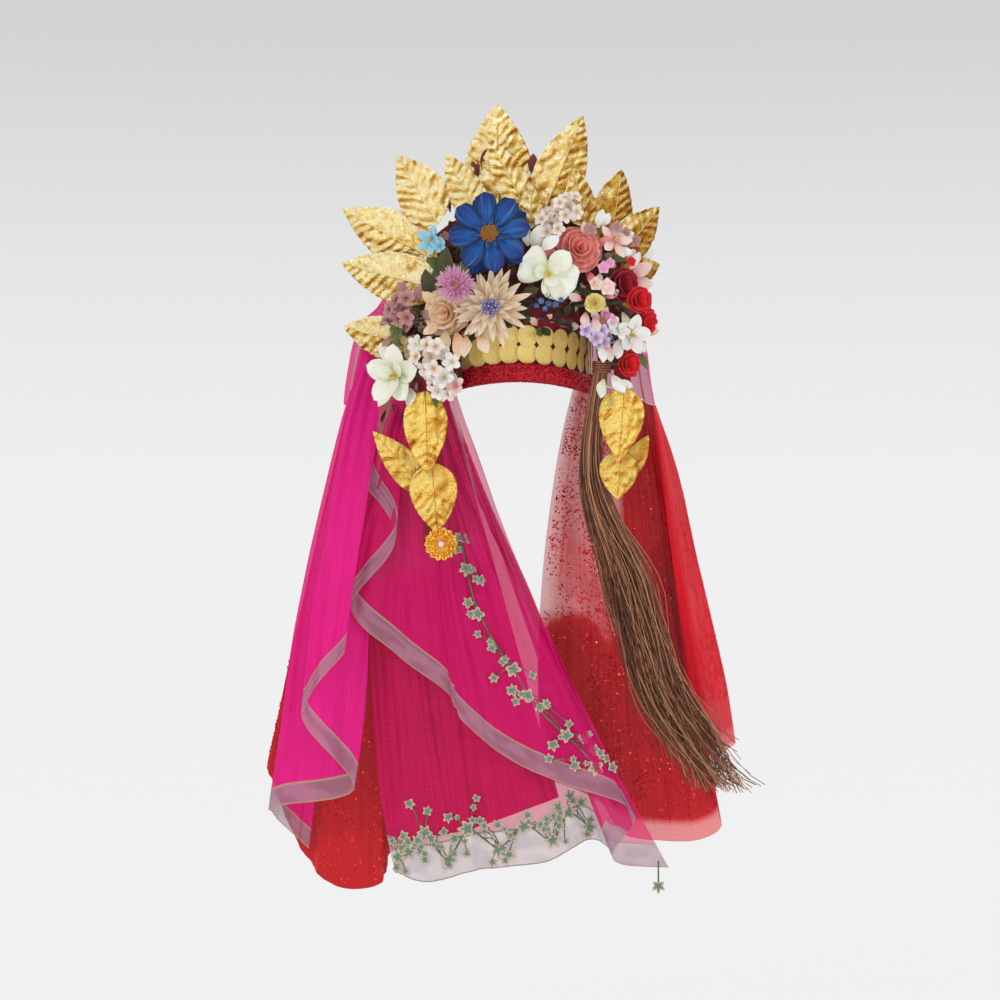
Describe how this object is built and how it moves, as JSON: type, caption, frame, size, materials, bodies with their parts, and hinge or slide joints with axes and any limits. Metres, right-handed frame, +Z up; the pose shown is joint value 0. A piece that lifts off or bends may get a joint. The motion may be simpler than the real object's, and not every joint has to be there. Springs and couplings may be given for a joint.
{
  "type": "bridal headpiece",
  "caption": "Worn bridal headpiece: hollow cap with coin rows and brow band, flower crown with foil leaves, temple pendants, strands and long draped sheer veils.",
  "frame": {"origin": "middle of the head opening, level with the cap's rim at the sides, where the headpiece sits on a head", "axes": "+Z up, the front looks along -Y, +X is to the viewer's right seen from the front"},
  "size_m": [0.534, 0.2932, 0.8473],
  "materials": {
    "cap_cloth": "plain woven cotton",
    "brow_sequins": "sewn sequins, glossy",
    "coin_gold": "pale gilt, embossed",
    "crest_cloth": "cloth over stiff board",
    "gold_foil": "crinkled gold foil",
    "rosette_gold": "pressed foil",
    "petal_blue": "artificial silk petals",
    "petal_sky": "artificial silk petals",
    "petal_pink": "artificial silk petals",
    "petal_peach": "artificial silk petals",
    "petal_cream": "artificial silk petals",
    "petal_ivory": "artificial silk petals",
    "petal_coral": "artificial silk petals",
    "petal_dark_red": "artificial silk petals",
    "petal_red": "artificial silk petals",
    "petal_blush": "artificial silk petals",
    "petal_yellow": "artificial silk petals",
    "petal_lilac": "artificial silk petals",
    "petal_white": "artificial silk petals",
    "petal_mauve": "artificial silk petals",
    "leaf_green": "artificial silk leaves",
    "ribbon_red": "woven ribbon",
    "veil_fuchsia": "sheer organza with a silver border",
    "veil_red": "sheer tulle with sewn sequins",
    "strands_copper": "loose silky strands",
    "ivy_green": "variegated artificial ivy"
  },
  "bodies": {
    "root": {"blue_daisy": "petal_blue", "blush_blossom": "petal_blush", "blush_star": "petal_blush", "brow_band": "brow_sequins", "cap": "cap_cloth", "coin_row_lower": "coin_gold", "coin_row_upper": "coin_gold", "coral_rose": "petal_coral", "cream_dahlia": "petal_cream", "cream_star_cluster": "petal_cream", "crest": "crest_cloth", "dark_red_rose": "petal_dark_red", "fuchsia_back": "veil_fuchsia", "fuchsia_front": "veil_fuchsia", "fuchsia_side": "veil_fuchsia", "green_leaves": "leaf_green", "ivory_orchid": "petal_ivory", "ivy_garland": "ivy_green", "leaf_centre": "gold_foil", "leaf_crown": "gold_foil", "leaf_crown_small": "gold_foil", "leaf_left_drop": "gold_foil", "leaf_left_high": "gold_foil", "leaf_left_low": "gold_foil", "leaf_left_mid": "gold_foil", "leaf_left_top": "gold_foil", "leaf_mid_left": "gold_foil", "leaf_mid_right": "gold_foil", "leaf_right_high": "gold_foil", "leaf_right_low": "gold_foil", "leaf_right_mid": "gold_foil", "leaf_right_small": "gold_foil", "leaf_right_top": "gold_foil", "lilac_cluster": "petal_lilac", "mauve_hydrangea": "petal_mauve", "peach_rose": "petal_peach", "pendant_left_lower": "gold_foil", "pendant_left_side": "gold_foil", "pendant_left_upper": "gold_foil", "pendant_right_lower": "gold_foil", "pendant_right_side": "gold_foil", "pendant_right_upper": "gold_foil", "pink_pompom": "petal_pink", "red_blossom_low": "petal_red", "red_blossom_side": "petal_red", "red_blossom_upper": "petal_red", "red_left": "veil_red", "red_right": "veil_red", "ribbon_left": "ribbon_red", "ribbon_right": "ribbon_red", "rosette": "rosette_gold", "sky_flower": "petal_sky", "strand_bundle": "strands_copper", "tulle_stars": "petal_white", "veil_hood": "veil_fuchsia", "white_blossom_right": "petal_white", "white_lily": "petal_white", "white_star_cluster": "petal_white", "white_stars_top": "petal_white", "yellow_rosebud": "petal_yellow"}
  },
  "joints": []
}
